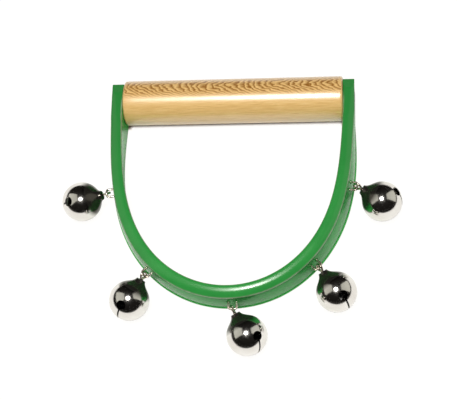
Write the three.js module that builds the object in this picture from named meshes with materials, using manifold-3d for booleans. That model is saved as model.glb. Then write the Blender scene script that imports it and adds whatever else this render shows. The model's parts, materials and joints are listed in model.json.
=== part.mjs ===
// Hand jingle: a turned wooden grip closes a bent plastic band, and round bells hang on wire staples around
// the band. Millimetres, +Z up. The band lies flat, with the grip along X at the back and the foot of its U
// towards -Y.
import * as THREE from 'three';
import { mergeVertices } from 'three/addons/utils/BufferGeometryUtils.js';
import Module from 'manifold-3d';

const wasm = await Module();
wasm.setup();

// Grip
const handleDiameter = 22;
const handleLength = 107.7;
const handleEdgeRound = 1.2;

// Band: depth runs from the grip's axis to the middle of the band at the foot of the U, and the flare is how
// far its outer face leans up between the foot and the straight legs. Its ends reach past the grip's axis and
// have their corners clipped.
const bandThickness = 5.6;
const bandWidth = 19.8;
const bandEdgeRound = 2.05;
const bandEdgeFlat = 0.8;
const bandDepth = 101.05;
const bandFlareDegrees = 8;
const flareSkew = 1.8;
const endReach = 8.1;
const endClipLength = 7.5;
const endClipHeight = 3.6;
const endSeat = 0.05;

// Countersunk wood screws through the band's ends into the grip
const screwLength = 24;
const screwShankDiameter = 3.5;
const screwTipLength = 4;
const screwHeadDiameter = 7.2;
const screwHeadDepth = 2.2;
const screwHeadSink = 0.4;
const recessLength = 4;
const recessWidth = 1;
const recessDepth = 1.4;
const screwClearance = 0.3;

// Wire staples: the eye stands out of the band's outer face, the legs sit in blind holes
const wireDiameter = 1.1;
const stapleSpacing = 3.8;
const stapleReach = 3.4;
const stapleArch = 1;
const stapleDepth = 4.4;
const stapleHeight = 2;
const wireClearance = 0.3;

// Bells: thin round shells, each drawn from one sheet, with a neck and a riveted wire loop
const bellDiameter = 19;
const bellWall = 0.7;
const neckDiameter = 4.6;
const neckHeight = 1.8;
const neckFlareDiameter = 11.6;
const loopDiameter = 3.2;
const loopGap = 0.3;
const shankDiameter = 1.6;
const rivetHeadDiameter = 3.6;
const rivetHeadThickness = 0.6;
const shankClearance = 0.3;

// Sound slit over the bell's pole, with a round hole at each end
const slitWidth = 0.8;
const slitHoleDiameter = 4.6;
const slitReachDegrees = 73;

// Loose pellet inside each bell
const pelletDiameter = 5;
const pelletClearance = 0.3;
const restClearance = 0.05;

// Distance of each staple along the band from the foot of the U, left of it negative
const leftLegStation = -82.5;
const leftBendStation = -39.4;
const footStation = 2.4;
const rightBendStation = 43.3;
const rightLegStation = 84.3;

// How each bell lies at rest: swung sideways from square to the band, its wire loop rolled and its shell
// turned about the bell's own axis
const bells = [
  { station: leftLegStation, swayDegrees: -0.5, rollDegrees: 24, turnDegrees: 12 },
  { station: leftBendStation, swayDegrees: 12.5, rollDegrees: -24, turnDegrees: 3 },
  { station: footStation, swayDegrees: 27, rollDegrees: -12, turnDegrees: 25 },
  { station: rightBendStation, swayDegrees: -12, rollDegrees: 24, turnDegrees: 2 },
  { station: rightLegStation, swayDegrees: -18, rollDegrees: 22, turnDegrees: 39 },
];

// Facets
const gripSegments = 36;
const screwSegments = 20;
const drillSegments = 10;
const bellSegments = 24;
const bellRings = 9;
const neckRings = 3;
const rivetSegments = 12;
const ringSegments = 16;
const wireSides = 6;
const stapleSides = 4;
const eyeSteps = 10;
const bandSteps = 20;
const cornerSteps = 2;
const pelletSegments = 8;
const pelletRings = 6;

const quarterTurn = Math.PI / 2;
const upward = new THREE.Vector3(0, 0, 1);
const handleRadius = handleDiameter / 2;
const wireRadius = wireDiameter / 2;
const bellRadius = bellDiameter / 2;
const bellInside = bellRadius - bellWall;
const loopRadius = loopDiameter / 2;
const bellHang = bellRadius + neckHeight + loopGap + loopRadius + wireRadius;

const materials = {
  wood: new THREE.MeshStandardMaterial({ color: 0xd2a769, roughness: 0.35, metalness: 0 }),
  plastic: new THREE.MeshStandardMaterial({ color: 0x2a8a3c, roughness: 0.2, metalness: 0 }),
  nickel: new THREE.MeshStandardMaterial({ color: 0xd6d6d4, roughness: 0.08, metalness: 1 }),
  wire: new THREE.MeshStandardMaterial({ color: 0xc9bfae, roughness: 0.2, metalness: 1 }),
  steel: new THREE.MeshStandardMaterial({ color: 0xb5b5b2, roughness: 0.35, metalness: 1 }),
};

const part = new THREE.Group();

function addMesh(parent, name, geometry, material) {
  const mesh = new THREE.Mesh(geometry, material);
  mesh.name = name;
  parent.add(mesh);
  return mesh;
}

// Closed triangle mesh with shared corners, ready for joining and cutting
function weld(geometry) {
  const bare = geometry.clone();
  bare.deleteAttribute('normal');
  bare.deleteAttribute('uv');
  return mergeVertices(bare, 1e-4);
}

function toSolid(geometry) {
  const welded = weld(geometry);
  return new wasm.Manifold(new wasm.Mesh({
    numProp: 3,
    vertProperties: Float32Array.from(welded.attributes.position.array),
    triVerts: Uint32Array.from(welded.index.array),
  }));
}

function toGeometry(solid) {
  const mesh = solid.getMesh();
  const geometry = new THREE.BufferGeometry();
  geometry.setAttribute('position', new THREE.BufferAttribute(mesh.vertProperties, mesh.numProp));
  geometry.setIndex(new THREE.BufferAttribute(mesh.triVerts, 1));
  geometry.computeVertexNormals();
  return geometry;
}

// Revolves [radius, height] points about Z
function revolve(points, segments) {
  const profile = points.map(([radius, height]) => new THREE.Vector2(radius, height));
  return new THREE.LatheGeometry(profile, segments).rotateX(quarterTurn);
}

function cylinderAlongZ(radius, from, to, segments) {
  return new THREE.CylinderGeometry(radius, radius, to - from, segments)
    .rotateX(quarterTurn)
    .translate(0, 0, (from + to) / 2);
}

// Joins closed rings of points into a solid with flat ends. Seen along the way the rings follow on, each ring
// runs clockwise.
function loft(rings) {
  const count = rings[0].length;
  const positions = rings.flat().flatMap((point) => point.toArray());
  const indices = [];
  for (let ring = 0; ring < rings.length - 1; ring += 1) {
    for (let i = 0; i < count; i += 1) {
      const a = ring * count + i;
      const b = ring * count + (i + 1) % count;
      indices.push(a, a + count, b, b, a + count, b + count);
    }
  }
  const last = (rings.length - 1) * count;
  for (let i = 1; i < count - 1; i += 1) {
    indices.push(0, i, i + 1);
    indices.push(last, last + i + 1, last + i);
  }
  const geometry = new THREE.BufferGeometry();
  geometry.setAttribute('position', new THREE.Float32BufferAttribute(positions, 3));
  geometry.setIndex(indices);
  geometry.computeVertexNormals();
  return geometry;
}

// The band bends like a sprung strip: its heading turns from 0 at the foot to a right angle at the straight
// leg, as the sine of the distance along it
function bendHeading(fraction) {
  return quarterTurn * Math.sin(quarterTurn * fraction);
}

// Place on such a bend of length 1, summed over short slices
function bendPoint(fraction) {
  const slices = 200;
  const point = new THREE.Vector2();
  for (let i = 0; i < slices; i += 1) {
    const heading = bendHeading(fraction * (i + 0.5) / slices);
    point.x += Math.cos(heading) * fraction / slices;
    point.y += Math.sin(heading) * fraction / slices;
  }
  return point;
}

// The bend ends where the band is as wide as the grip is long, and a straight leg runs from there to the grip
const bendEnd = bendPoint(1);
const bandHalfSpan = handleLength / 2 + endSeat + bandThickness / 2;
const bendLength = bandHalfSpan / bendEnd.x;
const legLength = bandDepth - bendLength * bendEnd.y;

// Local frame of the band at a signed distance along it from the foot of the U
function bandFrame(distance) {
  const side = Math.sign(distance) || 1;
  const fraction = Math.min(Math.abs(distance) / bendLength, 1);
  const straight = Math.max(Math.abs(distance) - bendLength, 0);
  const heading = bendHeading(fraction);
  const lean = THREE.MathUtils.degToRad(bandFlareDegrees) * Math.sin(Math.PI * fraction ** flareSkew);
  const bend = bendPoint(fraction).multiplyScalar(bendLength);
  const origin = new THREE.Vector3(side * bend.x, bend.y + straight - bandDepth, handleRadius);
  const level = new THREE.Vector3(side * Math.sin(heading), -Math.cos(heading), 0);
  const outward = level.clone().multiplyScalar(Math.cos(lean)).addScaledVector(upward, Math.sin(lean));
  const across = upward.clone().multiplyScalar(Math.cos(lean)).addScaledVector(level, -Math.sin(lean));
  return { origin, level, outward, across };
}

// Rounded rectangle, thickness by width, as points in the band's outward and across directions
function bandSection(frame, width) {
  const round = Math.min(bandEdgeRound, (bandThickness - bandEdgeFlat) / 2, (width - bandEdgeFlat) / 2);
  const halfOut = bandThickness / 2 - round;
  const halfUp = width / 2 - round;
  const ring = [];
  for (let corner = 0; corner < 4; corner += 1) {
    const outSign = corner === 0 || corner === 3 ? 1 : -1;
    const upSign = corner < 2 ? 1 : -1;
    for (let i = 0; i <= cornerSteps; i += 1) {
      const angle = quarterTurn * (corner + i / cornerSteps);
      ring.push(frame.origin.clone()
        .addScaledVector(frame.outward, outSign * halfOut + round * Math.cos(angle))
        .addScaledVector(frame.across, upSign * halfUp + round * Math.sin(angle)));
    }
  }
  return ring;
}

// Frame whose X runs along the band, Y across it and Z out of its outer face, at a height above its middle
function outerFace(distance, height) {
  const { origin, outward, across } = bandFrame(distance);
  const point = origin.clone()
    .addScaledVector(outward, bandThickness / 2)
    .addScaledVector(across, height);
  return new THREE.Matrix4().makeBasis(across.clone().cross(outward), across, outward).setPosition(point);
}

// Turned grip with a pilot hole in each end
function makeHandle() {
  const half = handleLength / 2;
  const pilotRadius = screwShankDiameter / 2 + screwClearance;
  const pilotFloor = half + bandThickness - screwHeadSink - screwLength - screwClearance;
  const easedCorner = handleEdgeRound * (1 - Math.SQRT1_2);
  const side = [
    [0, pilotFloor],
    [pilotRadius, pilotFloor],
    [pilotRadius, half],
    [handleRadius - handleEdgeRound, half],
    [handleRadius - easedCorner, half - easedCorner],
    [handleRadius, half - handleEdgeRound],
  ];
  const mirrored = side.map(([radius, height]) => [radius, -height]);
  const geometry = revolve([...mirrored, ...side.reverse()], gripSegments)
    .rotateY(quarterTurn)
    .translate(0, 0, handleRadius);
  addMesh(part, 'handle', geometry, materials.wood);
}

// Bent strip with clipped ends, countersunk for the screws and drilled for the staples
function makeBand() {
  const half = [];
  for (let i = 0; i <= bandSteps; i += 1) {
    half.push({ distance: bendLength * i / bandSteps, width: bandWidth });
  }
  const end = bendLength + legLength + endReach;
  half.push({ distance: end - endClipLength, width: bandWidth });
  half.push({ distance: end, width: bandWidth - 2 * endClipHeight });
  const mirrored = half.slice(1).reverse().map(({ distance, width }) => ({ distance: -distance, width }));
  const rings = [...mirrored, ...half].map(({ distance, width }) => bandSection(bandFrame(distance), width));
  let solid = toSolid(loft(rings));
  for (const side of [-1, 1]) {
    solid = solid.subtract(toSolid(screwHole().applyMatrix4(screwPlace(side))));
  }
  const holeRadius = wireRadius + wireClearance;
  for (const { station } of bells) {
    for (const leg of [-1, 1]) {
      const hole = cylinderAlongZ(holeRadius, -stapleDepth - wireClearance, bandThickness, drillSegments)
        .translate(leg * stapleSpacing / 2, 0, 0)
        .applyMatrix4(outerFace(station, stapleHeight));
      solid = solid.subtract(toSolid(hole));
    }
  }
  addMesh(part, 'band', toGeometry(solid), materials.plastic);
}

// The screws sit on the grip's axis, square to the band's straight ends
function screwPlace(side) {
  return outerFace(side * (bendLength + legLength), 0);
}

// Clearance hole and countersink, longer than the band is thick
function screwHole() {
  const shank = screwShankDiameter / 2 + screwClearance;
  const head = screwHeadDiameter / 2 + screwClearance;
  return revolve([
    [0, -2 * bandThickness],
    [shank, -2 * bandThickness],
    [shank, -screwHeadSink - screwHeadDepth],
    [head, -screwHeadSink],
    [head, bandThickness],
    [0, bandThickness],
  ], screwSegments);
}

function makeScrew(name, side) {
  const shank = screwShankDiameter / 2;
  const tip = -screwHeadSink - screwLength;
  const body = revolve([
    [0, tip],
    [shank, tip + screwTipLength],
    [shank, -screwHeadSink - screwHeadDepth],
    [screwHeadDiameter / 2, -screwHeadSink],
    [0, -screwHeadSink],
  ], screwSegments);
  let solid = toSolid(body);
  for (const [length, width] of [[recessLength, recessWidth], [recessWidth, recessLength]]) {
    const arm = new THREE.BoxGeometry(length, width, 2 * recessDepth).translate(0, 0, -screwHeadSink);
    solid = solid.subtract(toSolid(arm));
  }
  const mesh = addMesh(part, name, toGeometry(solid), materials.steel);
  mesh.applyMatrix4(screwPlace(side));
}

// Path through a list of points, straight from one to the next
class WirePath extends THREE.Curve {
  constructor(points) {
    super();
    this.points = points;
    this.last = points.length - 1;
  }

  getPoint(t, target = new THREE.Vector3()) {
    const index = Math.min(Math.floor(t * this.last), this.last - 1);
    return target.lerpVectors(this.points[index], this.points[index + 1], t * this.last - index);
  }

  getPointAt(u, target) {
    return this.getPoint(u, target);
  }

  getTangentAt(u, target = new THREE.Vector3()) {
    const index = Math.round(u * this.last);
    const before = this.points[Math.max(index - 1, 0)];
    const after = this.points[Math.min(index + 1, this.last)];
    return target.subVectors(after, before).normalize();
  }
}

// Staple in the frame of the band's outer face: an arched eye outside, straight legs inside the band
function staplePoints() {
  const half = stapleSpacing / 2;
  const eye = [];
  for (let i = 0; i <= eyeSteps; i += 1) {
    const angle = Math.PI * (1 - i / eyeSteps);
    const height = stapleReach - stapleArch + stapleArch * Math.sin(angle);
    eye.push(new THREE.Vector3(half * Math.cos(angle), 0, height));
  }
  return [new THREE.Vector3(-half, 0, -stapleDepth), ...eye, new THREE.Vector3(half, 0, -stapleDepth)];
}

function makeStaple(name, station) {
  const path = new WirePath(staplePoints());
  const section = new THREE.Shape().absarc(0, 0, wireRadius, 0, 2 * Math.PI);
  const geometry = new THREE.ExtrudeGeometry(section, {
    extrudePath: path,
    steps: path.last,
    curveSegments: stapleSides,
  });
  const mesh = addMesh(part, name, weld(geometry), materials.wire);
  mesh.applyMatrix4(outerFace(station, stapleHeight));
}

// Points of a circular arc as [radius, height], polar angle measured from +Z
function polarArc(radius, fromDegrees, toDegrees, steps) {
  const points = [];
  for (let i = 0; i <= steps; i += 1) {
    const angle = THREE.MathUtils.degToRad(fromDegrees + (toDegrees - fromDegrees) * i / steps);
    points.push([radius * Math.sin(angle), radius * Math.cos(angle)]);
  }
  return points;
}

function degreesAt(radius, opposite) {
  return THREE.MathUtils.radToDeg(Math.asin(opposite / radius));
}

// Shell with its neck up, cut by the sound slit and its end holes
function shellGeometry() {
  const bore = shankDiameter / 2 + shankClearance;
  const neck = neckDiameter / 2;
  const flare = neckFlareDiameter / 2;
  const neckTop = bellRadius + neckHeight;
  const neckCurve = new THREE.QuadraticBezierCurve(
    new THREE.Vector2(flare, Math.sqrt(bellRadius ** 2 - flare ** 2)),
    new THREE.Vector2(neck, bellRadius - bellWall / 2),
    new THREE.Vector2(neck, neckTop),
  );
  const outside = polarArc(bellRadius, 180, degreesAt(bellRadius, flare), bellRings);
  const fillet = neckCurve.getPoints(neckRings).slice(1).map(({ x, y }) => [x, y]);
  const inside = polarArc(bellInside, degreesAt(bellInside, bore), 180, bellRings);
  let solid = toSolid(revolve([...outside, ...fillet, [bore, neckTop], ...inside], bellSegments));

  const reach = THREE.MathUtils.degToRad(slitReachDegrees);
  const slitTop = -bellRadius * Math.cos(reach);
  const slit = new THREE.BoxGeometry(2 * bellDiameter, slitWidth, bellDiameter)
    .translate(0, 0, slitTop - bellDiameter / 2);
  solid = solid.subtract(toSolid(slit));
  for (const side of [-1, 1]) {
    const drill = cylinderAlongZ(slitHoleDiameter / 2, bellRadius / 2, bellDiameter, drillSegments)
      .rotateY(side * (Math.PI - reach));
    solid = solid.subtract(toSolid(drill));
  }
  return toGeometry(solid);
}

// Wire ring round the staple's eye, with a shank through the neck and a riveted head inside the bell
function loopGeometry() {
  const headRadius = rivetHeadDiameter / 2;
  const headTop = Math.sqrt(bellInside ** 2 - headRadius ** 2) - shankClearance;
  const shankFoot = headTop - rivetHeadThickness / 2;
  const ring = new THREE.TorusGeometry(loopRadius, wireRadius, wireSides, ringSegments)
    .rotateX(quarterTurn)
    .translate(0, 0, bellHang);
  const shank = cylinderAlongZ(shankDiameter / 2, shankFoot, bellHang - loopRadius, drillSegments);
  const head = cylinderAlongZ(headRadius, headTop - rivetHeadThickness, headTop, rivetSegments);
  return toGeometry(toSolid(ring).add(toSolid(shank)).add(toSolid(head)));
}

// A bell hangs from the eye of its staple, swung sideways, and droops until it lies on the table
function makeBell(index, { station, swayDegrees, rollDegrees, turnDegrees }) {
  const eye = new THREE.Vector3(0, 0, stapleReach).applyMatrix4(outerFace(station, stapleHeight));
  const droop = Math.asin((eye.z - bellRadius - restClearance) / bellHang);
  const flatWay = bandFrame(station).level.applyAxisAngle(upward, THREE.MathUtils.degToRad(swayDegrees));
  const axis = flatWay.multiplyScalar(-Math.cos(droop)).addScaledVector(upward, Math.sin(droop));
  const side = upward.clone().cross(axis).normalize();
  const centre = eye.clone().addScaledVector(axis, -bellHang);

  const bell = new THREE.Group();
  bell.applyMatrix4(new THREE.Matrix4().makeBasis(side.clone().cross(axis), side, axis).setPosition(centre));
  part.add(bell);
  const loop = addMesh(bell, `bell_loop_${index}`, loopGeometry(), materials.wire);
  loop.rotateZ(THREE.MathUtils.degToRad(rollDegrees));
  const shell = addMesh(bell, `bell_shell_${index}`, shellGeometry(), materials.nickel);
  shell.rotateZ(THREE.MathUtils.degToRad(turnDegrees));

  const pelletRadius = pelletDiameter / 2;
  const ball = new THREE.SphereGeometry(pelletRadius, pelletSegments, pelletRings);
  const pellet = addMesh(part, `pellet_${index}`, weld(ball), materials.steel);
  pellet.position.copy(centre).addScaledVector(upward, pelletRadius + pelletClearance - bellInside);
}

makeHandle();
makeBand();
makeScrew('screw_left', -1);
makeScrew('screw_right', 1);
bells.forEach((bell, i) => {
  makeStaple(`staple_${i + 1}`, bell.station);
  makeBell(i + 1, bell);
});

// The origin sits under the middle of the part, on the surface it lies on
part.updateMatrixWorld(true);
const middle = new THREE.Box3().setFromObject(part, true).getCenter(new THREE.Vector3());
part.position.set(-middle.x, -middle.y, 0);

export default part;
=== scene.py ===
import json
import math

import bmesh
import bpy
from mathutils import Matrix, Vector
from mathutils.kdtree import KDTree


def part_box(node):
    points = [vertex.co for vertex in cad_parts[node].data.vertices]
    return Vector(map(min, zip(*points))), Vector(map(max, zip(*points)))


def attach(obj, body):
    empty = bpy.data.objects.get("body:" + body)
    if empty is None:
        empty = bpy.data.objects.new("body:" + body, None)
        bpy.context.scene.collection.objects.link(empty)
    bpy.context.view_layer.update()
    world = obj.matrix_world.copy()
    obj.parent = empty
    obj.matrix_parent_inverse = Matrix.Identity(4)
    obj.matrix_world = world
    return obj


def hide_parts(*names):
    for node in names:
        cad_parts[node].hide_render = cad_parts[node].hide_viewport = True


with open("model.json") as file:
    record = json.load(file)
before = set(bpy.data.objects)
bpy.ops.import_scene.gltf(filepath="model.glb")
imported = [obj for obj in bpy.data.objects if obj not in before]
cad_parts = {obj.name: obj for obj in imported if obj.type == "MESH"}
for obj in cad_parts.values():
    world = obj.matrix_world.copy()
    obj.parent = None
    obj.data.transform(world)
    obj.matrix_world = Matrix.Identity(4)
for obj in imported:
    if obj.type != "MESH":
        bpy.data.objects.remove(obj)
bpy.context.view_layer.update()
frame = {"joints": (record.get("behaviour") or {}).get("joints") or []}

# Sizes of the grip, in millimetres as all sizes of the part
GRIP_DIAMETER = 22.0
GRIP_LENGTH = 107.7
GRIP_EDGE_ROUND = 1.2

# Sizes of the bent band
BAND_THICKNESS = 5.6
BAND_WIDTH = 19.8
BAND_DEPTH = 101.05
BAND_FLARE = math.radians(8)
FLARE_SKEW = 1.8
BAND_BARREL = math.radians(7)
BAND_CREASE = 0.25
FOOT_SWELL = 0.6

# Edge faces of the band: radius of the crown, its shift towards the inside, radius of the corners
UPPER_EDGE = (7.5, 2.3, 1.1)
LOWER_EDGE = (14.0, 0.0, 1.1)
END_EDGE = (4.5, 0.0, 0.9)

# Straight ends of the band
END_BARREL = math.radians(0.5)
END_CREASE = 0.02
END_BLEND = 14.0
END_REACH = 6.8
END_CLIP_LENGTH = 5.5
END_CLIP_HEIGHT = 1.8
END_EASE = 0.4
END_EASE_SCALES = (0.98, 0.94)
END_SEAT = 0.05

# Painted marks on the band's skin, a pale reflection along the corners and shade below the outer corner: where they
# fade out, how wide they are and how far from the corners
MARK_FADE = 5.0
MARK_SPREAD = 0.6
REFLECTION_DEPTH = 0.85
REFLECTION_RAMP = 0.4
REFLECTION_RISE = 0.35
CREASE_SHADE_DROP = 0.75
SKIN_DEPTH = 1.15
WALL_RISE = 0.1
CUT_SLACK = 0.05

# Sizes of the screws
SCREW_LENGTH = 24.0
SCREW_SHANK = 3.5
SCREW_TIP = 4.0
SCREW_HEAD = 7.2
SCREW_HEAD_DEPTH = 2.2
SCREW_SINK = 0.4
SCREW_CLEARANCE = 0.3
THREAD_PITCH = 1.5
THREAD_DEPTH = 0.35
THREAD_FLANK = 0.3
THREAD_RUN_OUT = 3.0
RECESS_LENGTH = 4.0
RECESS_WIDTH = 1.0
RECESS_DEPTH = 1.4
RECESS_TAPER = 0.55

# Rounded rim of a screw's head: how far in from its edge and how deep below its top
SCREW_RIM = ((0.12, 0.16), (0.0, 0.1), (0.02, 0.04), (0.1, 0.0))

# Sizes of the wire staples
WIRE_DIAMETER = 1.1
WIRE_CLEARANCE = 0.3
STAPLE_SPACING = 3.8
STAPLE_REACH = 3.4
STAPLE_ARCH = 1.0
STAPLE_DEPTH = 4.4
STAPLE_HEIGHT = 2.0
STAPLE_TIP = 0.12
BORE_FLARE = 0.3
BORE_FLARE_DEPTH = 0.45

# Sizes of the bells with their loops and pellets
BELL_DIAMETER = 19.0
BELL_WALL = 0.7
NECK_DIAMETER = 4.6
NECK_HEIGHT = 1.8
NECK_FLARE = 11.6
NECK_TANGENT = 1.9
NECK_WAIST = (0.35, 1.7)
LOOP_DIAMETER = 3.2
LOOP_GAP = 0.3
SHANK_DIAMETER = 1.6
SHANK_CLEARANCE = 0.3
SHANK_FILLET = 0.1
RIVET_DIAMETER = 3.6
RIVET_THICKNESS = 0.6
SLIT_WIDTH = 0.8
SLIT_HOLE = 4.6
SLIT_REACH = math.radians(73)
PELLET_DIAMETER = 5.0

# Rim of a neck: how far in from its radius and how deep below its top
NECK_RIM = ((0.0, 0.25), (0.08, 0.07), (0.25, 0.0))

# Dome of a rivet head: share of its radius and height above its lowest plane
RIVET_DOME = ((0.0, -0.02), (0.5, 0.03), (0.85, 0.16), (1.0, 0.36))

# Soft flats of a pellet: their directions, the cosine at which they begin and their depth
PELLET_FLATS = ((0.3, 0.8, 0.52), (-0.75, 0.1, 0.65), (0.5, -0.6, -0.62), (-0.4, 0.5, -0.77))
FLAT_START = 0.9
FLAT_DEPTH = 1.1

# Painted dark reflection around a neck, as angles from the bell's axis
NECK_REFLECTION_FULL = math.radians(50)
NECK_REFLECTION_NONE = math.radians(66)

# Places of the bells along the band, and the turns of bells and loops, in degrees
STATIONS = (-82.5, -39.4, 2.4, 43.3, 84.3)
BELL_TURNS = (12, 3, 25, 2, 39)
LOOP_ROLLS = (24, -24, -12, 24, 22)
PELLET_TURN = 1.3

MM = 0.001
QUARTER = math.pi / 2
FULL_TURN = 2 * math.pi
UP = Vector((0, 0, 1))
MERGE_DISTANCE = 1e-5
ON_AXIS = 1e-9
WIRE_END_SCALE = 0.7
BELL_RADIUS = BELL_DIAMETER / 2
BELL_INSIDE = BELL_RADIUS - BELL_WALL
WIRE_RADIUS = WIRE_DIAMETER / 2
BELL_HANG = BELL_RADIUS + NECK_HEIGHT + LOOP_GAP + LOOP_DIAMETER / 2 + WIRE_RADIUS

grip_low, grip_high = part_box("handle")
GRIP_MIDDLE = (grip_low + grip_high) / 2
TO_FRAME = Matrix.Translation((GRIP_MIDDLE.x, GRIP_MIDDLE.y, 0)) @ Matrix.Scale(MM, 4)
JOINTS = {joint["name"]: joint for joint in frame["joints"]}


# Mesh helpers

def clamp(value):
    return min(max(value, 0.0), 1.0)


def make_object(name, points, faces):
    """New object in the scene, its doubled points merged and its faces turned outward."""
    mesh = bpy.data.meshes.new(name)
    mesh.from_pydata([tuple(point) for point in points], [], faces)
    work = bmesh.new()
    work.from_mesh(mesh)
    bmesh.ops.remove_doubles(work, verts=work.verts, dist=MERGE_DISTANCE)
    bmesh.ops.recalc_face_normals(work, faces=work.faces)
    work.to_mesh(mesh)
    work.free()
    piece = bpy.data.objects.new(name, mesh)
    bpy.context.scene.collection.objects.link(piece)
    return piece


def circle_ring(radius, height, segments):
    """Points of a level circle about Z."""
    ring = []
    for i in range(segments):
        angle = FULL_TURN * i / segments
        ring.append(Vector((radius * math.cos(angle), radius * math.sin(angle), height)))
    return ring


def box_outline(length, width):
    """Corners of a rectangle about the origin."""
    x, y = length / 2, width / 2
    return [(x, y), (-x, y), (-x, -y), (x, -y)]


def arc(centre, radius, start, end, steps):
    """Points of a circular arc, angles from the first axis."""
    points = []
    for i in range(steps + 1):
        angle = start + (end - start) * i / steps
        points.append((centre[0] + radius * math.cos(angle), centre[1] + radius * math.sin(angle)))
    return points


def revolve(profile, segments, closed=False):
    """Points and faces of [radius, height] points turned about Z; points on the axis are shared."""
    points = []
    rows = []
    for radius, height in profile:
        if radius < ON_AXIS:
            rows.append([len(points)] * segments)
            points.append((0.0, 0.0, height))
            continue
        rows.append(list(range(len(points), len(points) + segments)))
        points.extend(circle_ring(radius, height, segments))
    pairs = list(zip(rows, rows[1:]))
    if closed:
        pairs.append((rows[-1], rows[0]))
    faces = []
    for low, high in pairs:
        for i in range(segments):
            j = (i + 1) % segments
            corners = []
            for corner in (low[i], low[j], high[j], high[i]):
                if corner not in corners:
                    corners.append(corner)
            if len(corners) > 2:
                faces.append(corners)
    return points, faces


def loft(rings):
    """Points and faces of closed rings joined in order, with flat ends."""
    count = len(rings[0])
    points = [point for ring in rings for point in ring]
    faces = []
    for row in range(len(rings) - 1):
        for i in range(count):
            j = (i + 1) % count
            a, b = row * count, (row + 1) * count
            faces.append((a + i, a + j, b + j, b + i))
    faces.append(tuple(range(count)))
    last = (len(rings) - 1) * count
    faces.append(tuple(range(last + count - 1, last - 1, -1)))
    return points, faces


def tube(path, radius, sides):
    """Round wire along a path of points, narrowed at both ends."""
    rings = []
    normal = None
    for i, point in enumerate(path):
        before = path[max(i - 1, 0)]
        after = path[min(i + 1, len(path) - 1)]
        tangent = (after - before).normalized()
        if normal is None:
            normal = tangent.orthogonal().normalized()
        normal = (normal - tangent * normal.dot(tangent)).normalized()
        side = tangent.cross(normal)
        scale = WIRE_END_SCALE if i in (0, len(path) - 1) else 1.0
        ring = []
        for k in range(sides):
            angle = FULL_TURN * k / sides
            ring.append(point + (normal * math.cos(angle) + side * math.sin(angle)) * radius * scale)
        rings.append(ring)
    return loft(rings)


def boolean(piece, other, operation="DIFFERENCE"):
    """Cuts or joins the other object into the piece, and removes the other."""
    modifier = piece.modifiers.new("boolean", "BOOLEAN")
    modifier.operation = operation
    modifier.solver = "EXACT"
    modifier.object = other
    bpy.context.view_layer.update()
    solved = piece.evaluated_get(bpy.context.evaluated_depsgraph_get())
    mesh = bpy.data.meshes.new_from_object(solved)
    piece.modifiers.clear()
    old_mesh, other_mesh = piece.data, other.data
    piece.data = mesh
    bpy.data.objects.remove(other)
    bpy.data.meshes.remove(old_mesh)
    bpy.data.meshes.remove(other_mesh)


def join_shapes(shapes):
    """One list of points and faces from several."""
    points, faces = [], []
    for shape_points, shape_faces in shapes:
        start = len(points)
        points.extend(shape_points)
        faces.extend([tuple(start + i for i in face) for face in shape_faces])
    return points, faces


def moved(shape, matrix):
    points, faces = shape
    return [matrix @ Vector(point) for point in points], faces


def smooth(piece, degrees):
    """Smooth shading, with edges sharper than the angle left sharp."""
    for polygon in piece.data.polygons:
        polygon.use_smooth = True
    piece.data.set_sharp_from_angle(angle=math.radians(degrees))


def finish_piece(piece, material, body, node):
    piece.data.materials.clear()
    piece.data.materials.append(material)
    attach(piece, body)
    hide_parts(node)


# Node helpers

def set_input(tree, node, key, value):
    """Links a socket to a node's input, or sets the input to a value."""
    if isinstance(value, bpy.types.NodeSocket):
        tree.links.new(value, node.inputs[key])
    else:
        node.inputs[key].default_value = value


def add_node(tree, kind, inputs=None, **settings):
    node = tree.nodes.new(kind)
    for key, value in settings.items():
        setattr(node, key, value)
    for key, value in (inputs or {}).items():
        set_input(tree, node, key, value)
    return node


def math_node(tree, operation, first, second=0.0):
    return add_node(tree, "ShaderNodeMath", {0: first, 1: second}, operation=operation).outputs[0]


def ramp_node(tree, factor, stops):
    node = add_node(tree, "ShaderNodeValToRGB", {0: factor})
    elements = node.color_ramp.elements
    while len(elements) < len(stops):
        elements.new(0.5)
    for element, (place, colour) in zip(elements, stops):
        element.position = place
        element.color = colour
    return node.outputs[0]


def grey(value):
    return (value, value, value, 1.0)


def map_range(tree, value, low, high, new_low, new_high):
    node = add_node(tree, "ShaderNodeMapRange", {0: value, 1: low, 2: high, 3: new_low, 4: new_high})
    return node.outputs[0]


def mix_colour(tree, factor, first, second):
    return add_node(tree, "ShaderNodeMix", {0: factor, 6: first, 7: second}, data_type="RGBA").outputs[2]


def mix_value(tree, factor, first, second):
    return add_node(tree, "ShaderNodeMix", {0: factor, 2: first, 3: second}, data_type="FLOAT").outputs[0]


def start_material(name, **sockets):
    """Material with its main shader, whose sockets are set by name."""
    material = bpy.data.materials.new(name)
    material.use_nodes = True
    tree = material.node_tree
    shader = tree.nodes["Principled BSDF"]
    for key, value in sockets.items():
        shader.inputs[key.replace("_", " ")].default_value = value
    return material, tree, shader


def empty_material(name):
    material = bpy.data.materials.new(name)
    material.use_nodes = True
    material.node_tree.nodes.clear()
    return material, material.node_tree


def scaled(tree, vector, scale, location=(0, 0, 0)):
    """A vector scaled and then shifted."""
    node = add_node(tree, "ShaderNodeMapping", {"Vector": vector, "Scale": scale, "Location": location})
    return node.outputs[0]


def object_place(tree, scale=1.0, location=(0, 0, 0)):
    """Object coordinates, scaled and then shifted."""
    source = add_node(tree, "ShaderNodeTexCoord")
    return scaled(tree, source.outputs["Object"], (scale, scale, scale), location)


def separate(tree, vector):
    return add_node(tree, "ShaderNodeSeparateXYZ", {0: vector}).outputs


def dot_product(tree, vector, way):
    node = add_node(tree, "ShaderNodeVectorMath", {0: vector, 1: way}, operation="DOT_PRODUCT")
    return node.outputs["Value"]


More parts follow.
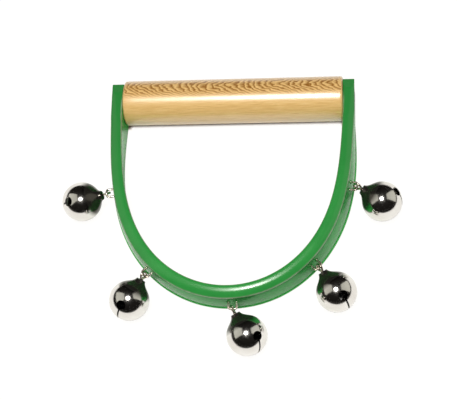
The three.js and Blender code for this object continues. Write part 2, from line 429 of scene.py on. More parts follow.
def noise(tree, vector, scale, detail=3.0, roughness=0.5):
    node = add_node(tree, "ShaderNodeTexNoise",
                    {"Vector": vector, "Scale": scale, "Detail": detail, "Roughness": roughness})
    return node.outputs[0]


def wander_noise(tree, vector, detail, size):
    """Noise about zero, of a given size."""
    centred = math_node(tree, "SUBTRACT", noise(tree, vector, 1.0, detail), 0.5)
    return math_node(tree, "MULTIPLY", centred, size)


def attribute(tree, name):
    return add_node(tree, "ShaderNodeAttribute", attribute_name=name).outputs["Fac"]


def bump(tree, shader, height, strength, distance):
    node = add_node(tree, "ShaderNodeBump", {"Strength": strength, "Distance": distance, "Height": height})
    tree.links.new(node.outputs[0], shader.inputs["Normal"])


# Materials

def grain_strength(tree, place):
    """Late wood of growth layers tilted to the dowel's axis, which show as nested arches along its top."""
    tilt, back = math.radians(8), math.radians(21)
    layer_thickness = 0.46
    layer_way = (math.sin(tilt), math.cos(tilt) * math.sin(back), math.cos(tilt) * math.cos(back))
    slow = wander_noise(tree, scaled(tree, place, (0.05, 0.16, 0.16)), 2.0, 1.9)
    quick = wander_noise(tree, scaled(tree, place, (0.28, 0.42, 0.42)), 3.0, 0.85)
    wander = math_node(tree, "ADD", slow, quick)
    depth = math_node(tree, "ADD", dot_product(tree, place, layer_way), wander)
    ring = math_node(tree, "FRACT", math_node(tree, "DIVIDE", depth, layer_thickness))
    late = ramp_node(tree, ring, ((0.1, grey(0.0)), (0.5, grey(0.6)), (0.72, grey(1.0)), (1.0, grey(0.0))))
    height = dot_product(tree, place, (0.0, math.sin(back), math.cos(back)))
    return math_node(tree, "MULTIPLY", late, map_range(tree, height, 8.9, 10.6, 0.1, 1.0))


def wood_material():
    """Lacquered dowel with arched grain, fibres and a few pores, all in millimetres about its middle."""
    shade, honey, pale = (0.58, 0.335, 0.105, 1), (0.77, 0.495, 0.190, 1), (0.86, 0.60, 0.28, 1)
    late_wood, pore = (0.25, 0.095, 0.009, 1), (0.30, 0.14, 0.05, 1)
    material, tree, shader = start_material("lacquered_wood", Roughness=0.32, Coat_Weight=0.9,
                                            Coat_Roughness=0.27, Coat_IOR=1.85)
    place = object_place(tree, 1000, tuple(-c * 1000 for c in GRIP_MIDDLE))
    fibres = noise(tree, scaled(tree, place, (0.12, 3.0, 3.0)), 1.0, 5.0, 0.6)
    colour = ramp_node(tree, fibres, ((0.25, shade), (0.5, honey), (0.75, pale)))
    colour = mix_colour(tree, grain_strength(tree, place), colour, late_wood)
    specks = noise(tree, scaled(tree, place, (0.5, 5.5, 5.5)), 1.0, 2.0)
    colour = mix_colour(tree, map_range(tree, specks, 0.66, 0.74, 0.0, 0.45), colour, pore)
    tree.links.new(colour, shader.inputs["Base Color"])
    bump(tree, shader, fibres, 0.16, 0.0002)
    return material


def plastic_material():
    """Moulded green, glossy on the edge faces and plainer on the walls and the cut ends; the walls get a lighter
    green as painted light.

    It has faint flow marks, painted shade that darkens it towards the ends, a painted reflection along the corners, a
    painted shade line below the outer corner and an uneven gloss.
    """
    deep, fresh, end_shade_tone = (0.022, 0.222, 0.040, 1), (0.030, 0.262, 0.050, 1), (0.020, 0.193, 0.036, 1)
    wall_painted_light, cut_tone = (0.040, 0.400, 0.072, 1), (0.028, 0.190, 0.042, 1)
    corner_reflection_tone, crease_shade_tone = (0.46, 0.46, 0.38, 1), (0.010, 0.060, 0.014, 1)
    material, tree, shader = start_material("green_plastic", IOR=1.17, Coat_Roughness=0.22)
    place = object_place(tree)
    flow = noise(tree, place, 70.0)
    colour = ramp_node(tree, flow, ((0.3, deep), (0.7, fresh)))
    # painted shade: the green gets darker towards the ends of the band
    painted_shade_to_ends = map_range(tree, separate(tree, place)[1], -0.02, 0.055, 0.0, 1.0)
    colour = mix_colour(tree, painted_shade_to_ends, colour, end_shade_tone)
    wall, cut = attribute(tree, "wall"), attribute(tree, "cut")
    # painted light: the walls get a lighter copy of the green
    colour = mix_colour(tree, wall, colour, wall_painted_light)
    colour = mix_colour(tree, cut, colour, cut_tone)
    # painted reflection along the corners, broken up by noise
    reflection_breakup = map_range(tree, noise(tree, place, 260.0, 4.0), 0.3, 0.6, 0.25, 0.6)
    reflected_corner = math_node(tree, "MULTIPLY", attribute(tree, "corner_reflection"), reflection_breakup)
    colour = mix_colour(tree, reflected_corner, colour, corner_reflection_tone)
    # painted shade in the crease below the outer corner, in uneven patches
    patches = map_range(tree, flow, 0.3, 0.7, 0.35, 0.7)
    shaded_crease = math_node(tree, "MULTIPLY", attribute(tree, "crease_shade"), patches)
    colour = mix_colour(tree, shaded_crease, colour, crease_shade_tone)
    tree.links.new(colour, shader.inputs["Base Color"])
    matt = math_node(tree, "MAXIMUM", wall, cut)
    tree.links.new(map_range(tree, matt, 0.0, 1.0, 0.8, 0.0), shader.inputs["Coat Weight"])
    rough = map_range(tree, noise(tree, place, 240.0, 4.0), 0.3, 0.7, 0.13, 0.2)
    rough = math_node(tree, "ADD", rough, math_node(tree, "MULTIPLY", cut, 0.3))
    tree.links.new(rough, shader.inputs["Roughness"])
    bump(tree, shader, noise(tree, place, 420.0, 2.0), 0.04, 0.0003)
    return material


def metal_material(name, dull, bright, gloss, wave_scale, wave_strength, dark_neck_reflection=None):
    """Plated metal with dull and bright patches, roughness between two values and slight waves.

    A dark colour for a painted reflection is laid on where the mesh says so, and makes the metal rougher and less
    metallic there.
    """
    material, tree, shader = start_material(name, Metallic=1.0)
    place = object_place(tree)
    colour = ramp_node(tree, noise(tree, place, 160.0, 4.0), ((0.3, dull), (0.65, bright)))
    rough = map_range(tree, noise(tree, place, 900.0, 4.0, 0.65), 0.3, 0.75, *gloss)
    if dark_neck_reflection:
        # painted reflection: a dark colour near the neck, where the shaded band would be mirrored
        amount = attribute(tree, "dark_neck_reflection")
        colour = mix_colour(tree, amount, colour, dark_neck_reflection)
        rough = math_node(tree, "ADD", rough, math_node(tree, "MULTIPLY", amount, 0.06))
        tree.links.new(map_range(tree, amount, 0.75, 1.0, 1.0, 0.88), shader.inputs["Metallic"])
    tree.links.new(colour, shader.inputs["Base Color"])
    tree.links.new(rough, shader.inputs["Roughness"])
    bump(tree, shader, noise(tree, place, wave_scale, 1.0), wave_strength, 0.0002)
    return material


def floor_material():
    """White table top: bright to the camera, apart from the brown contact shadow under the grip."""
    shadow_tint, table_tint = (0.85, 0.62, 0.42, 1), (1.0, 0.99, 0.975, 1)
    lit, contact_distance = 0.99, 0.003
    material, tree = empty_material("table_white")
    seen = add_node(tree, "ShaderNodeLightPath").outputs["Is Camera Ray"]
    place = object_place(tree)
    tone = map_range(tree, noise(tree, place, 3.0, 2.0), 0.0, 1.0, 0.98, 1.0)
    albedo = math_node(tree, "MULTIPLY", map_range(tree, seen, 0.0, 1.0, 0.76, 0.06), tone)
    near = add_node(tree, "ShaderNodeAmbientOcclusion", {"Distance": contact_distance}, samples=8, only_local=False)
    line = map_range(tree, near.outputs["AO"], 0.70, 0.86, 0.05, lit)
    spot = separate(tree, place)
    between_legs = map_range(tree, math_node(tree, "ABSOLUTE", spot[0]), 0.0545, 0.0555, 1.0, 0.0)
    below_grip = map_range(tree, spot[1], 0.0488, 0.0503, 0.0, 1.0)
    contact = mix_value(tree, math_node(tree, "MULTIPLY", between_legs, below_grip), lit, line)
    glow = mix_value(tree, seen, 0.05, contact)
    tint = mix_colour(tree, contact, shadow_tint, table_tint)
    matt = add_node(tree, "ShaderNodeBsdfDiffuse", {"Color": albedo})
    light = add_node(tree, "ShaderNodeEmission", {"Color": tint, "Strength": glow})
    both = add_node(tree, "ShaderNodeAddShader", {0: matt.outputs[0], 1: light.outputs[0]})
    add_node(tree, "ShaderNodeOutputMaterial", {"Surface": both.outputs[0]})
    return material


def panel_material():
    """Warm grey light panel, brighter towards its lower edge."""
    material, tree = empty_material("light_panel")
    height = separate(tree, object_place(tree))[2]
    glow = map_range(tree, height, 0.2, 1.0, 0.63, 0.46)
    light = add_node(tree, "ShaderNodeEmission", {"Color": (1.0, 0.99, 0.88, 1), "Strength": glow})
    add_node(tree, "ShaderNodeOutputMaterial", {"Surface": light.outputs[0]})
    return material


# The bent band

def bend_heading(fraction):
    """Direction of the bend from the foot (0) to the start of the straight leg (1)."""
    return QUARTER * math.sin(QUARTER * fraction)


def bend_point(fraction):
    """Point of a bend of length 1, summed along its heading."""
    slices = 200
    x = y = 0.0
    for i in range(slices):
        heading = bend_heading(fraction * (i + 0.5) / slices)
        x += math.cos(heading) * fraction / slices
        y += math.sin(heading) * fraction / slices
    return x, y


BEND_END = bend_point(1.0)
BAND_HALF_SPAN = GRIP_LENGTH / 2 + END_SEAT + BAND_THICKNESS / 2
BEND_LENGTH = BAND_HALF_SPAN / BEND_END[0]
LEG_LENGTH = BAND_DEPTH - BEND_LENGTH * BEND_END[1]
LEG_END = BEND_LENGTH + LEG_LENGTH


def band_frame(distance):
    """Middle of the band at a signed distance from the foot, with its outward and across directions."""
    side = -1 if distance < 0 else 1
    fraction = min(abs(distance) / BEND_LENGTH, 1.0)
    straight = max(abs(distance) - BEND_LENGTH, 0.0)
    heading = bend_heading(fraction)
    lean = BAND_FLARE * math.sin(math.pi * fraction ** FLARE_SKEW)
    x, y = bend_point(fraction)
    origin = Vector((side * x * BEND_LENGTH, y * BEND_LENGTH + straight - BAND_DEPTH, GRIP_DIAMETER / 2))
    level = Vector((side * math.sin(heading), -math.cos(heading), 0))
    outward = level * math.cos(lean) + UP * math.sin(lean)
    across = UP * math.cos(lean) - level * math.sin(lean)
    return origin, outward, across


def outer_face(distance, height):
    """X along the band, Y across it, Z out of its outer face."""
    origin, outward, across = band_frame(distance)
    point = origin + outward * (BAND_THICKNESS / 2) + across * height
    basis = Matrix((across.cross(outward), across, outward)).transposed().to_4x4()
    return Matrix.Translation(point) @ basis


def screw_place(side):
    return outer_face(side * LEG_END, 0.0)


def corner_height(side, edge):
    """Height of the middle of a round corner that runs into the crown; side is 1 outside and -1 inside."""
    crown, shift, corner = edge
    reach = BAND_THICKNESS / 2 - corner + side * shift
    return BAND_WIDTH / 2 - crown + math.sqrt((crown - corner) ** 2 - reach ** 2)


def edge_outline(edge):
    """Crown and corners of an edge face, from outside to inside."""
    corner_steps, crown_steps = 6, 14
    crown, shift, corner = edge
    corner_out = BAND_THICKNESS / 2 - corner
    crown_up = BAND_WIDTH / 2 - crown
    outer, inner = corner_height(1, edge), corner_height(-1, edge)
    outer_meet = math.atan2(outer - crown_up, corner_out + shift)
    inner_meet = math.atan2(inner - crown_up, shift - corner_out)
    points = arc((corner_out, outer), corner, 0.0, outer_meet, corner_steps)
    points += arc((-shift, crown_up), crown, outer_meet, inner_meet, crown_steps)[1:-1]
    return points + arc((-corner_out, inner), corner, inner_meet, math.pi, corner_steps)


def band_section(upper, lower, barrel, crease):
    """Outline of the strip, out and across: crowned edges, flat inside, barrelled outside."""
    inside_steps, outside_steps = 10, 16
    half_out = BAND_THICKNESS / 2
    top = edge_outline(upper)
    bottom = [(out, -up) for out, up in reversed(edge_outline(lower))]
    high, low = top[-1][1], bottom[0][1]
    inside = [(-half_out, high + (low - high) * i / inside_steps) for i in range(1, inside_steps)]
    high, low = top[0][1] - crease, bottom[-1][1] + crease
    barrel_radius = (high - low) / 2 / math.sin(barrel)
    centre = (half_out - barrel_radius, (high + low) / 2)
    return top + inside + bottom + arc(centre, barrel_radius, -barrel, barrel, outside_steps)


def band_ends():
    """Distances past the straight leg, with the height that the clipped corners leave and the eased tip's scale."""
    steps = 14
    half_up = BAND_WIDTH / 2
    tip = LEG_END + END_REACH
    rows = []
    for i in range(steps + 1):
        along = (END_CLIP_LENGTH - END_EASE) * i / steps
        rows.append((tip - END_CLIP_LENGTH + along, half_up - END_CLIP_HEIGHT * along / END_CLIP_LENGTH, 1.0))
    for distance, scale in zip((tip - END_EASE / 4, tip), END_EASE_SCALES):
        rows.append((distance, half_up - END_CLIP_HEIGHT, scale))
    return rows


def band_ring(distance, height, scale, crowned, flat):
    """Outline at one place: crowned turning flat towards the ends, swollen inside the foot, cut to a height."""
    origin, outward, across = band_frame(distance)
    blend = clamp((abs(distance) - LEG_END + END_BLEND) / END_BLEND)
    swell = FOOT_SWELL * max(1 - (distance / BEND_LENGTH) ** 2, 0.0) ** 2 / (BAND_THICKNESS / 2)
    ring = []
    for (out, up), (flat_out, flat_up) in zip(crowned, flat):
        out += (flat_out - out) * blend
        up += (flat_up - up) * blend
        if out < 0:
            out *= 1 + swell
        up = min(max(up, -height), height)
        ring.append(origin + outward * (out * scale) + across * (up * scale))
    return ring


def band_rings():
    """The strip's outlines from end to end."""
    bend_steps, leg_steps = 110, 12
    rows = [(BEND_LENGTH * i / bend_steps, BAND_WIDTH, 1.0) for i in range(bend_steps)]
    rows += [(BEND_LENGTH + LEG_LENGTH * i / leg_steps, BAND_WIDTH, 1.0) for i in range(leg_steps + 1)]
    rows += band_ends()
    mirrored = [(-distance, height, scale) for distance, height, scale in reversed(rows[1:])]
    crowned = band_section(UPPER_EDGE, LOWER_EDGE, BAND_BARREL, BAND_CREASE)
    flat = band_section(END_EDGE, END_EDGE, END_BARREL, END_CREASE)
    return [band_ring(*row, crowned, flat) for row in mirrored + rows]


def skin_marks(point, station, axes):
    """How much painted corner reflection and painted crease shade a point of the band gets, and whether it is on a
    wall or on a cut end.
    """
    origin, outward, across = axes
    out, up = (point - origin).dot(outward), (point - origin).dot(across)
    corner_up = corner_height(1 if out > 0 else -1, UPPER_EDGE if up > 0 else LOWER_EDGE)
    above = abs(up) - corner_up
    inward = BAND_THICKNESS / 2 - abs(out)
    fade = clamp((LEG_END - abs(station)) / MARK_FADE)
    side = clamp((REFLECTION_DEPTH - inward) / REFLECTION_RAMP) * fade
    # painted reflection: a pale line along the corners of the edge faces, where the table's light would be mirrored
    corner_reflection = side * max(0.0, 1 - abs(above - REFLECTION_RISE) / MARK_SPREAD)
    skin = fade if inward < SKIN_DEPTH else 0.0
    # painted shade: a dark line on the outer wall just below the outer corner
    crease_shade = skin * max(0.0, 1 - abs(above + CREASE_SHADE_DROP) / MARK_SPREAD) if out > 0 else 0.0
    wall = skin if above < WALL_RISE else 0.0
    past = point.y - END_REACH + END_CLIP_LENGTH
    flat_up = BAND_WIDTH / 2 - past * END_CLIP_HEIGHT / END_CLIP_LENGTH
    cut = 1.0 if past > 0 and abs(up) > flat_up - CUT_SLACK else 0.0
    return {"corner_reflection": corner_reflection, "crease_shade": crease_shade, "wall": wall, "cut": cut}


def mark_skin(mesh):
    """Stores the marks of each point of the band, measured from the nearest place on its middle line."""
    half_count = 200
    stations = [(LEG_END + END_REACH) * (i / half_count - 1) for i in range(2 * half_count + 1)]
    frames = [band_frame(distance) for distance in stations]
    tree = KDTree(len(frames))
    for i, axes in enumerate(frames):
        tree.insert(axes[0], i)
    tree.balance()
    marks = []
    for vertex in mesh.vertices:
        nearest = tree.find(vertex.co)[1]
        marks.append(skin_marks(vertex.co, stations[nearest], frames[nearest]))
    for name in marks[0]:
        layer = mesh.attributes.new(name, "FLOAT", "POINT")
        for i, row in enumerate(marks):
            layer.data[i].value = row[name]


def make_band(material):
    piece = make_object("bent_band", *loft(band_rings()))
    shank = SCREW_SHANK / 2 + SCREW_CLEARANCE
    head = SCREW_HEAD / 2 + SCREW_CLEARANCE
    through, above = -2 * BAND_THICKNESS, BAND_THICKNESS
    countersink = [(0.0, through), (shank, through), (shank, -SCREW_SINK - SCREW_HEAD_DEPTH),
                   (head, -SCREW_SINK), (head, above), (0.0, above)]
    drill = WIRE_RADIUS + WIRE_CLEARANCE
    bottom, flare = -STAPLE_DEPTH - WIRE_CLEARANCE, drill + BORE_FLARE
    bore = [(0.0, bottom), (drill, bottom), (drill, -BORE_FLARE_DEPTH),
            (flare, 0.0), (flare, above), (0.0, above)]
    cutters = [moved(revolve(countersink, segments=48), screw_place(side)) for side in (-1, 1)]
    for station in STATIONS:
        for leg in (-1, 1):
            place = outer_face(station, STAPLE_HEIGHT) @ Matrix.Translation((leg * STAPLE_SPACING / 2, 0, 0))
            cutters.append(moved(revolve(bore, segments=24), place))
    boolean(piece, make_object("band_cutter", *join_shapes(cutters)))
    smooth(piece, degrees=35)
    mark_skin(piece.data)
    piece.data.transform(TO_FRAME)
    finish_piece(piece, material, "frame", "band")


# The grip and its screws

def make_grip(material):
    edge_steps, body_steps = 7, 10
    half, radius, edge = GRIP_LENGTH / 2, GRIP_DIAMETER / 2, GRIP_EDGE_ROUND
    pilot = SCREW_SHANK / 2 + SCREW_CLEARANCE
    floor = half + BAND_THICKNESS - SCREW_SINK - SCREW_LENGTH - SCREW_CLEARANCE
    upper = [(0.0, floor), (pilot, floor), (pilot, half)]
    upper += arc((radius - edge, half - edge), edge, QUARTER, 0.0, edge_steps)
    upper += [(radius, (half - edge) * (1 - i / body_steps)) for i in range(1, body_steps)]
    profile = upper + [(radius, 0.0)] + [(r, -z) for r, z in reversed(upper)]
    piece = make_object("turned_grip", *revolve(profile, segments=120))
    smooth(piece, degrees=35)
    turn = Matrix.Translation((0, 0, radius)) @ Matrix.Rotation(QUARTER, 4, "Y")
    piece.data.transform(TO_FRAME @ turn)
    finish_piece(piece, material, "frame", "handle")


def screw_shape():
    """Countersunk screw along -Z, with a helical thread on its shank."""
    segments, rows = 40, 150
    blunt = 0.02
    core = SCREW_SHANK / 2 - THREAD_DEPTH
    tip = -SCREW_SINK - SCREW_LENGTH
    neck = -SCREW_SINK - SCREW_HEAD_DEPTH
    rings = []
    for row in range(rows + 1):
        height = tip + (neck - tip) * row / rows
        taper = min((height - tip) / SCREW_TIP + blunt, 1.0)
        threaded = clamp((neck - height) / THREAD_RUN_OUT)
        ring = []
        for i in range(segments):
            angle = FULL_TURN * i / segments
            phase = (height / THREAD_PITCH - angle / FULL_TURN) % 1.0
            ridge = max(0.0, 1 - abs(phase - 0.5) / THREAD_FLANK) * threaded
            radius = (core + THREAD_DEPTH * ridge) * taper
            ring.append(Vector((radius * math.cos(angle), radius * math.sin(angle), height)))
        rings.append(ring)
    rings.append(circle_ring(core * 1.15, neck + 0.05, segments))
    for inset, drop in SCREW_RIM:
        rings.append(circle_ring(SCREW_HEAD / 2 - inset, -SCREW_SINK - drop, segments))
    return loft(rings)


def make_screw(name, node, side, material):
    piece = make_object(name, *screw_shape())
    for arm in ((RECESS_LENGTH, RECESS_WIDTH), (RECESS_WIDTH, RECESS_LENGTH)):
        rings = []
        for height, share in ((-RECESS_DEPTH, RECESS_TAPER), (0.0, 1.0), (RECESS_DEPTH, 1.0)):
            rings.append([Vector((x * share, y * share, height - SCREW_SINK)) for x, y in box_outline(*arm)])
        boolean(piece, make_object("recess_cutter", *loft(rings)))
    smooth(piece, degrees=40)
    piece.data.transform(TO_FRAME @ screw_place(side))
    finish_piece(piece, material, "frame", node)


# Staples and bells

def staple_path():
    """Arched eye outside the band, straight legs in its blind holes."""
    eye_steps, leg_steps = 36, 8
    half, foot, top = STAPLE_SPACING / 2, -STAPLE_DEPTH, STAPLE_REACH - STAPLE_ARCH
    heights = [foot, foot + STAPLE_TIP] + [foot + (top - foot) * i / leg_steps for i in range(1, leg_steps)]
    eye = []
    for i in range(eye_steps + 1):
        angle = math.pi * (1 - i / eye_steps)
        eye.append(Vector((half * math.cos(angle), 0, top + STAPLE_ARCH * math.sin(angle))))
    left = [Vector((-half, 0, height)) for height in heights]
    right = [Vector((half, 0, height)) for height in reversed(heights)]
    return left + eye + right


def make_staple(index, material):
    piece = make_object(f"wire_staple_{index}", *tube(staple_path(), WIRE_RADIUS, sides=20))
    smooth(piece, degrees=50)
    piece.data.transform(TO_FRAME @ outer_face(STATIONS[index - 1], STAPLE_HEIGHT))
    finish_piece(piece, material, "frame", f"staple_{index}")


def bell_place(index):
    """Frame of a bell: origin at its centre, Z towards the eye that it hangs from."""
    joint = JOINTS[f"bell_{index}_spin"]
    axis = Vector(joint["axis"]).normalized()
    side = UP.cross(axis).normalized()
    basis = Matrix((side.cross(axis), side, axis)).transposed().to_4x4()
    return Matrix.Translation(Vector(joint["pos_m"])) @ basis @ Matrix.Scale(MM, 4)


def neck_profile():
    """Concave neck, tangent to the ball below and upright at its top."""
    steps = 14
    flare, neck = NECK_FLARE / 2, NECK_DIAMETER / 2
    polar = math.asin(flare / BELL_RADIUS)
    top = BELL_RADIUS + NECK_HEIGHT
    rim = [(neck - inset, top - drop) for inset, drop in NECK_RIM]
    start = Vector((flare, BELL_RADIUS * math.cos(polar)))
    handles = (start, start + Vector((-math.cos(polar), math.sin(polar))) * NECK_TANGENT,
               Vector((neck + NECK_WAIST[0], top - NECK_WAIST[1])), Vector(rim[0]))
    points = []
    for i in range(1, steps + 1):
        t = i / steps
        weights = ((1 - t) ** 3, 3 * t * (1 - t) ** 2, 3 * t * t * (1 - t), t ** 3)
        point = sum((handle * weight for handle, weight in zip(handles, weights)), Vector((0, 0)))
        points.append((point.x, point.y))
    return points + rim[1:]


def ball_arc(radius, start, end, steps):
    """Profile points of a ball between two angles from its axis."""
    points = []
    for i in range(steps + 1):
        polar = start + (end - start) * i / steps
        points.append((radius * math.sin(polar), radius * math.cos(polar)))
    return points


def cut_slit(piece):
    """Cuts the slit across the bottom of the ball, and the round hole at each of its ends."""
    slit_top = -BELL_RADIUS * math.cos(SLIT_REACH)
    outline = box_outline(2 * BELL_DIAMETER, SLIT_WIDTH)
    rings = [[Vector((x, y, z)) for x, y in outline] for z in (-BELL_DIAMETER, slit_top)]
    boolean(piece, make_object("slit_cutter", *loft(rings)))
    drills = []
    hole, near, far = SLIT_HOLE / 2, BELL_RADIUS / 2, BELL_DIAMETER
    bit = [(0.0, near), (hole, near), (hole, far), (0.0, far)]
    for side in (-1, 1):
        turn = Matrix.Rotation(side * (math.pi - SLIT_REACH), 4, "Y")
        drills.append(moved(revolve(bit, segments=40), turn))
    boolean(piece, make_object("hole_cutter", *join_shapes(drills)))


def shade_round(mesh, neck_floor):
    """Gives the ball below the neck the normals of a true sphere, outside and inside."""
    slack = 0.03
    normals = [Vector(corner.vector) for corner in mesh.corner_normals]
    for polygon in mesh.polygons:
        corners = [mesh.vertices[i].co for i in polygon.vertices]
        outer = all(abs(c.length - BELL_RADIUS) < slack and c.z < neck_floor for c in corners)
        inner = all(abs(c.length - BELL_INSIDE) < slack for c in corners)
        if outer or inner:
            for loop, c in zip(polygon.loop_indices, corners):
                normals[loop] = c.normalized() * (1 if outer else -1)
    mesh.normals_split_custom_set(normals)


def mark_neck_reflection(mesh):
    """Stores how much painted dark reflection each point of the bell gets, from the neck outward."""
    dark_neck_reflection = mesh.attributes.new("dark_neck_reflection", "FLOAT", "POINT")
    for vertex in mesh.vertices:
        polar = vertex.co.angle(UP)
        dark_neck_reflection.data[vertex.index].value = clamp((NECK_REFLECTION_NONE - polar) / (NECK_REFLECTION_NONE - NECK_REFLECTION_FULL))


def shell_mesh():
    """Thin ball with a neck, a slit and round slit ends; its outside is shaded as a true sphere."""
    bore = SHANK_DIAMETER / 2 + SHANK_CLEARANCE
    outer_end = math.asin(NECK_FLARE / 2 / BELL_RADIUS)
    inner_end = math.asin(bore / BELL_INSIDE)
    profile = ball_arc(BELL_RADIUS, math.pi, outer_end, steps=60) + neck_profile()
    profile += [(bore, BELL_RADIUS + NECK_HEIGHT)] + ball_arc(BELL_INSIDE, inner_end, math.pi, steps=48)
    piece = make_object("shell_master", *revolve(profile, segments=112))
    cut_slit(piece)
    smooth(piece, degrees=30)
    mesh = piece.data
    shade_round(mesh, neck_floor=BELL_RADIUS * math.cos(outer_end) + 0.01)
    mark_neck_reflection(mesh)
    bpy.data.objects.remove(piece)
    return mesh


def loop_mesh():
    """Wire ring with a shank through the bell's neck and a domed rivet head inside."""
    head_radius = RIVET_DIAMETER / 2
    head_top = math.sqrt(BELL_INSIDE ** 2 - head_radius ** 2) - SHANK_CLEARANCE
    shank = SHANK_DIAMETER / 2
    ring_bottom = BELL_HANG - LOOP_DIAMETER / 2
    circle = arc((LOOP_DIAMETER / 2, 0.0), WIRE_RADIUS, 0.0, FULL_TURN, steps=20)[:-1]
    upright = Matrix.Translation((0, 0, BELL_HANG)) @ Matrix.Rotation(QUARTER, 4, "X")
    piece = make_object("loop_master", *moved(revolve(circle, segments=56, closed=True), upright))
    low = head_top - RIVET_THICKNESS
    stem = [(head_radius * share, low + height) for share, height in RIVET_DOME]
    stem += [(head_radius, head_top), (shank, head_top), (shank, ring_bottom - 0.5),
             (shank + SHANK_FILLET, ring_bottom - 0.28), (0.0, ring_bottom + 0.05)]
    boolean(piece, make_object("stem", *revolve(stem, segments=36)), "UNION")
    smooth(piece, degrees=40)
    mesh = piece.data
    bpy.data.objects.remove(piece)
    return mesh


def pellet_mesh():
    """Cut wire pellet, tumbled nearly round, with a few soft flats."""
    work = bmesh.new()
    bmesh.ops.create_icosphere(work, subdivisions=4, radius=PELLET_DIAMETER / 2)
    flats = [Vector(way).normalized() for way in PELLET_FLATS]
    for vert in work.verts:
        way = vert.co.normalized()
        vert.co -= way * sum(max(way.dot(flat) - FLAT_START, 0.0) * FLAT_DEPTH for flat in flats)
    mesh = bpy.data.meshes.new("pellet_master")
    work.to_mesh(mesh)
    work.free()
    for polygon in mesh.polygons:
        polygon.use_smooth = True
    return mesh


def place_copy(name, master, matrix):
    mesh = master.copy()
    mesh.name = name
    mesh.transform(matrix)
    piece = bpy.data.objects.new(name, mesh)
    bpy.context.scene.collection.objects.link(piece)
    return piece


def pellet_place(index):
    """Middle of the solid pellet, each one turned differently."""
    low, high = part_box(f"pellet_{index}")
    turn = Matrix.Rotation(index * PELLET_TURN, 4, (1, 2, 3))
    return Matrix.Translation((low + high) / 2) @ turn @ Matrix.Scale(MM, 4)


def make_bells(nickel, wire, steel):
    shell, loop, pellet = shell_mesh(), loop_mesh(), pellet_mesh()
    for index in range(1, len(STATIONS) + 1):
        place = bell_place(index)
        turn = Matrix.Rotation(math.radians(BELL_TURNS[index - 1]), 4, "Z")
        ball = place_copy(f"round_bell_{index}", shell, place @ turn)
        finish_piece(ball, nickel, f"bell_{index}", f"bell_shell_{index}")
        roll = Matrix.Rotation(math.radians(LOOP_ROLLS[index - 1]), 4, "Z")
        ring = place_copy(f"bell_ring_{index}", loop, place @ roll)
        finish_piece(ring, wire, f"loop_{index}", f"bell_loop_{index}")
        shot = place_copy(f"loose_pellet_{index}", pellet, pellet_place(index))
        finish_piece(shot, steel, f"pellet_{index}", f"pellet_{index}")
    for master in (shell, loop, pellet):
        bpy.data.meshes.remove(master)


# Camera, light and table

def make_camera():
    """The photograph's view: target and distance in millimetres about the grip's middle, lens from pixels."""
    focal_pixels, image_width, sensor = 1250.0, 458.0, 36.0
    target = Vector((-0.914, -51.963, 10.0))
    distance = 599.6
    elevation, yaw, roll = math.radians(67.70), math.radians(-17.81), math.radians(-17.34)
    look = Vector((math.sin(yaw) * math.cos(elevation), math.cos(yaw) * math.cos(elevation), -math.sin(elevation)))
    right = Vector((math.cos(yaw), -math.sin(yaw), 0))
    up = right.cross(look)
    turned_right = right * math.cos(roll) + up * math.sin(roll)
    turned_up = up * math.cos(roll) - right * math.sin(roll)
    data = bpy.data.cameras.new("camera")
    data.sensor_fit = "HORIZONTAL"
    data.sensor_width = sensor
    data.lens = focal_pixels / image_width * sensor
    data.clip_start = 0.01
    camera = bpy.data.objects.new("camera", data)
    basis = Matrix((turned_right, turned_up, -look)).transposed().to_4x4()
    camera.matrix_world = Matrix.Translation(TO_FRAME @ (target - look * distance)) @ basis
    bpy.context.scene.collection.objects.link(camera)
    bpy.context.scene.camera = camera


def make_lamp(name, place, diameter, radiance, mirrored=True):
    """Round lamp of a given brightness aimed at the middle, not seen by the camera."""
    data = bpy.data.lights.new(name, "AREA")
    data.shape = "DISK"
    data.size = diameter
    data.color = (1.0, 0.985, 0.955)
    data.energy = radiance * math.pi * math.pi * diameter ** 2 / 4
    light = bpy.data.objects.new(name, data)
    aim = (-Vector(place)).to_track_quat("-Z", "Y").to_matrix().to_4x4()
    light.matrix_world = Matrix.Translation(place) @ aim
    light.visible_camera = False
    light.visible_glossy = mirrored
    bpy.context.scene.collection.objects.link(light)


def make_panel(name, corners, material):
    """Four-cornered panel that lights and is mirrored, but is not seen and casts no shadow."""
    panel = make_object(name, corners, [(0, 1, 2, 3)])
    panel.data.materials.append(material)
    panel.visible_camera = False
    panel.visible_shadow = False


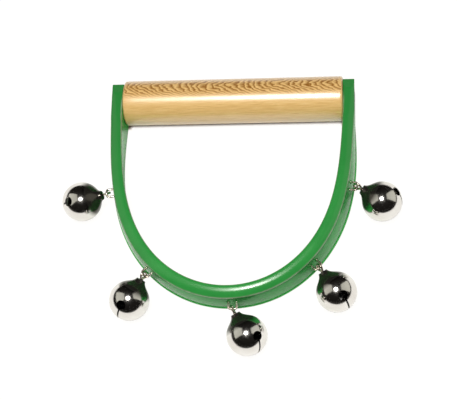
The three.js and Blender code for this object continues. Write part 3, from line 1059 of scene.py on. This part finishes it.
def make_world():
    """Dark room for the reflections, pale background for the camera."""
    world = bpy.data.worlds.new("room")
    world.use_nodes = True
    tree = world.node_tree
    tree.nodes.clear()
    dark = add_node(tree, "ShaderNodeBackground", {"Color": (0.010, 0.009, 0.008, 1), "Strength": 1.0})
    pale = add_node(tree, "ShaderNodeBackground", {"Color": (0.96, 0.96, 0.95, 1), "Strength": 1.0})
    seen = add_node(tree, "ShaderNodeLightPath").outputs["Is Camera Ray"]
    mixed = add_node(tree, "ShaderNodeMixShader", {0: seen, 1: dark.outputs[0], 2: pale.outputs[0]})
    add_node(tree, "ShaderNodeOutputWorld", {"Surface": mixed.outputs[0]})
    bpy.context.scene.world = world
    bpy.context.scene.view_settings.view_transform = "Standard"


def make_room():
    make_lamp("lamp_core", (0.005, -0.11, 1.2), diameter=0.15, radiance=100.0)
    make_lamp("lamp_halo", (0.005, -0.11, 1.21), diameter=0.42, radiance=6.0)
    make_lamp("lamp_fill", (0.0, -0.11, 1.22), diameter=0.6, radiance=10.0, mirrored=False)
    grey_panel = panel_material()
    left = [(-0.85, 0.45, 0.22), (-0.8, -0.42, 0.35), (-0.33, -0.25, 1.02), (-0.38, 0.38, 0.95)]
    right = [(0.75, 0.70, 0.1), (0.97, -0.1, 0.13), (0.52, -0.1, 0.9), (0.44, 0.38, 0.88)]
    make_panel("panel_left", left, grey_panel)
    make_panel("panel_right", right, grey_panel)
    make_world()


def make_floor():
    size = 4.0
    points = [(-size, -size, 0), (size, -size, 0), (size, size, 0), (-size, size, 0)]
    floor = make_object("table_top", points, [(0, 1, 2, 3)])
    floor.data.materials.append(floor_material())


make_camera()
make_room()
make_floor()
wood = wood_material()
plastic = plastic_material()
# the bells' dark colour near the neck is a painted reflection
nickel = metal_material("bright_nickel", dull=(0.78, 0.75, 0.71, 1), bright=(0.86, 0.84, 0.81, 1), gloss=(0.11, 0.19),
                        wave_scale=150.0, wave_strength=0.05, dark_neck_reflection=(0.092, 0.085, 0.074, 1))
wire = metal_material("plated_wire", dull=(0.52, 0.44, 0.33, 1), bright=(0.90, 0.84, 0.74, 1), gloss=(0.2, 0.32),
                      wave_scale=700.0, wave_strength=0.1)
steel = metal_material("zinc_steel", dull=(0.50, 0.50, 0.50, 1), bright=(0.66, 0.66, 0.65, 1), gloss=(0.25, 0.4),
                       wave_scale=900.0, wave_strength=0.15)
make_grip(wood)
make_band(plastic)
make_screw("wood_screw_left", "screw_left", -1, steel)
make_screw("wood_screw_right", "screw_right", 1, steel)
for number in range(1, len(STATIONS) + 1):
    make_staple(number, wire)
make_bells(nickel, wire, steel)
